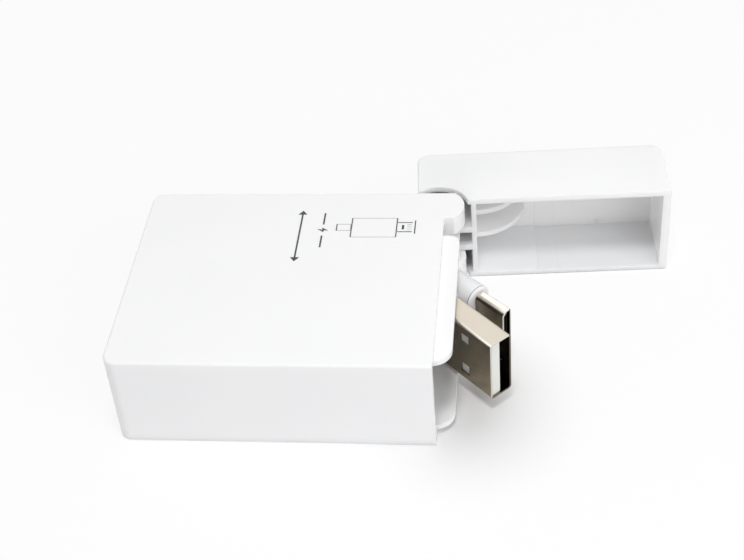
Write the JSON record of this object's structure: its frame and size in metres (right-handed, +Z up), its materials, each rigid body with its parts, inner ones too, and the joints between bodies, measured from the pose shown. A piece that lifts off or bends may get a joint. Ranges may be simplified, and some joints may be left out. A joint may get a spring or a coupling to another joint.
{
  "type": "retractable charging cable",
  "caption": "Flip-lid box with a sprung reel that winds in two flat charging leads, one ending in a USB-A plug and one in a micro-USB plug.",
  "frame": {"origin": "centre of the case's flat bottom face", "axes": "+X along the case towards its mouth, +Y towards the hinge side, +Z up through the top face"},
  "size_m": [0.0926, 0.0592, 0.0178],
  "materials": {
    "white_plastic": "glossy",
    "plug_plastic": "satin",
    "inner_plastic": "matte",
    "nickel": "bright nickel plate",
    "steel": "plain",
    "spring_steel": "blued",
    "pale_insulator": "matte",
    "black_insulator": "matte",
    "gold": "bright",
    "cable": "satin"
  },
  "bodies": {
    "case": {"upper_shell": "white_plastic", "lower_cover": "white_plastic", "hinge_pin": "steel", "reel_axle": "steel", "pawl_screw": "steel"},
    "lid": {"flip_lid": "white_plastic"},
    "reel": {"reel_drum": "inner_plastic", "reel_flange": "inner_plastic", "cable_roll": "cable", "mainspring": "spring_steel"},
    "pawl": {"lock_pawl": "inner_plastic"},
    "usb_a": {"usb_a_shell": "nickel", "usb_a_insulator": "pale_insulator", "usb_a_contacts": "gold", "usb_a_housing": "plug_plastic", "usb_a_lead": "cable"},
    "micro": {"micro_shell": "nickel", "micro_insulator": "black_insulator", "micro_contacts": "gold", "micro_latches": "steel", "micro_housing": "plug_plastic", "micro_lead": "cable"}
  },
  "joints": [
    {"name": "lid_hinge", "type": "hinge", "parent": "case", "child": "lid", "pos_m": [0.0253, 0.0187, 0], "axis": [0, 0, 1], "range_deg": [-94, 0]},
    {"name": "reel_spin", "type": "hinge", "parent": "case", "child": "reel", "pos_m": [-0.0064, 0, 0.0089], "axis": [0, 0, -1], "range_deg": [0, 1980], "stiffness_Nm_per_rad": 0.0005, "springref_deg": -343.77, "deforming": ["mainspring"]},
    {"name": "pawl_swing", "type": "hinge", "parent": "case", "child": "pawl", "pos_m": [0.00196, -0.01448, 0.0148], "axis": [0, 0, 1], "range_deg": [-6, 6]},
    {"name": "usb_a_pull", "type": "slide", "parent": "case", "child": "usb_a", "axis": [0.6921, -0.7218, 0], "range_m": [0, 0.408], "deforming": ["usb_a_lead"]},
    {"name": "micro_pull", "type": "slide", "parent": "case", "child": "micro", "axis": [0.723, -0.6909, 0], "range_m": [0, 0.408], "deforming": ["micro_lead"]}
  ],
  "couplings": [
    {"joint": "usb_a_pull", "follows": "reel_spin", "m_per_rad": 0.0118},
    {"joint": "micro_pull", "follows": "reel_spin", "m_per_rad": 0.0118}
  ]
}
